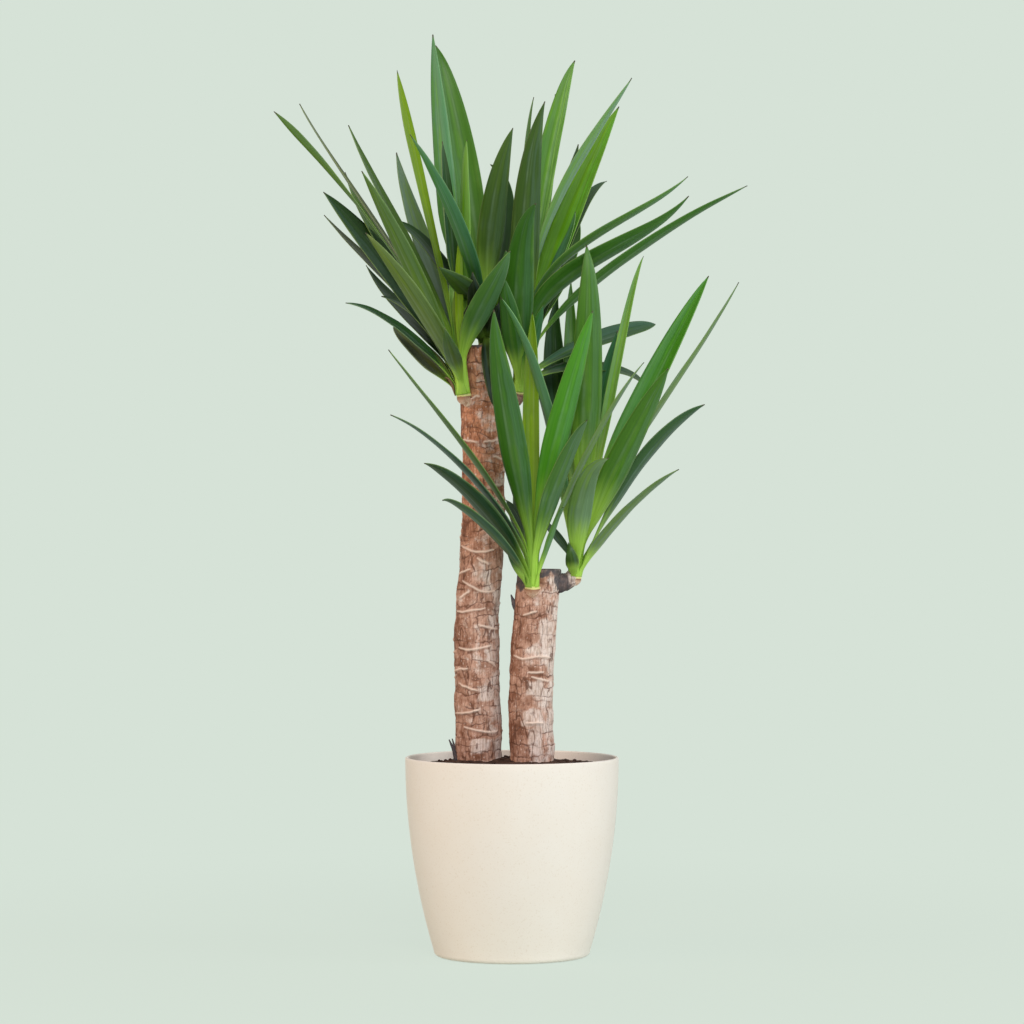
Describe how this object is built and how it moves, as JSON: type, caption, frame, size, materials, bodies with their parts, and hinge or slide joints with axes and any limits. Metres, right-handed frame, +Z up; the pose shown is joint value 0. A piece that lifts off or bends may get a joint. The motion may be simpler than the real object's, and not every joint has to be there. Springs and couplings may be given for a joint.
{
  "type": "potted yucca",
  "caption": "Potted yucca: woody canes of different heights in a plain round tapered planter, crowned with long pointed arching leaves.",
  "frame": {"origin": "middle of the planter's flat foot, on the surface it stands on", "axes": "+Z straight up along the planter's axis, -Y towards the plant's front, +X towards the shorter cane"},
  "size_m": [0.4666, 0.2957, 0.9091],
  "materials": {
    "planter_plastic": "matte",
    "potting_soil": "matte",
    "cane_bark": "matte",
    "shoot_green": "satin",
    "leaf_green": "satin"
  },
  "bodies": {
    "root": {"planter": "planter_plastic", "short_cane": "cane_bark", "short_front_leaf_01": "leaf_green", "short_front_leaf_02": "leaf_green", "short_front_leaf_03": "leaf_green", "short_front_leaf_04": "leaf_green", "short_front_leaf_05": "leaf_green", "short_front_leaf_06": "leaf_green", "short_front_leaf_07": "leaf_green", "short_front_leaf_08": "leaf_green", "short_front_leaf_09": "leaf_green", "short_front_shoot_stem": "shoot_green", "short_right_leaf_01": "leaf_green", "short_right_leaf_02": "leaf_green", "short_right_leaf_03": "leaf_green", "short_right_leaf_04": "leaf_green", "short_right_leaf_05": "leaf_green", "short_right_leaf_06": "leaf_green", "short_right_leaf_07": "leaf_green", "short_right_leaf_08": "leaf_green", "short_right_leaf_09": "leaf_green", "short_right_leaf_10": "leaf_green", "short_right_shoot_stem": "shoot_green", "soil": "potting_soil", "tall_cane": "cane_bark", "tall_left_leaf_01": "leaf_green", "tall_left_leaf_02": "leaf_green", "tall_left_leaf_03": "leaf_green", "tall_left_leaf_04": "leaf_green", "tall_left_leaf_05": "leaf_green", "tall_left_leaf_06": "leaf_green", "tall_left_leaf_07": "leaf_green", "tall_left_leaf_08": "leaf_green", "tall_left_leaf_09": "leaf_green", "tall_left_leaf_10": "leaf_green", "tall_left_leaf_11": "leaf_green", "tall_left_leaf_12": "leaf_green", "tall_left_leaf_13": "leaf_green", "tall_left_leaf_14": "leaf_green", "tall_left_leaf_15": "leaf_green", "tall_left_shoot_stem": "shoot_green", "tall_right_leaf_01": "leaf_green", "tall_right_leaf_02": "leaf_green", "tall_right_leaf_03": "leaf_green", "tall_right_leaf_04": "leaf_green", "tall_right_leaf_05": "leaf_green", "tall_right_leaf_06": "leaf_green", "tall_right_leaf_07": "leaf_green", "tall_right_leaf_08": "leaf_green", "tall_right_leaf_09": "leaf_green", "tall_right_leaf_10": "leaf_green", "tall_right_leaf_11": "leaf_green", "tall_right_shoot_stem": "shoot_green", "tall_top_leaf_01": "leaf_green", "tall_top_leaf_02": "leaf_green", "tall_top_leaf_03": "leaf_green", "tall_top_leaf_04": "leaf_green", "tall_top_leaf_05": "leaf_green", "tall_top_leaf_06": "leaf_green", "tall_top_shoot_stem": "shoot_green"}
  },
  "joints": []
}
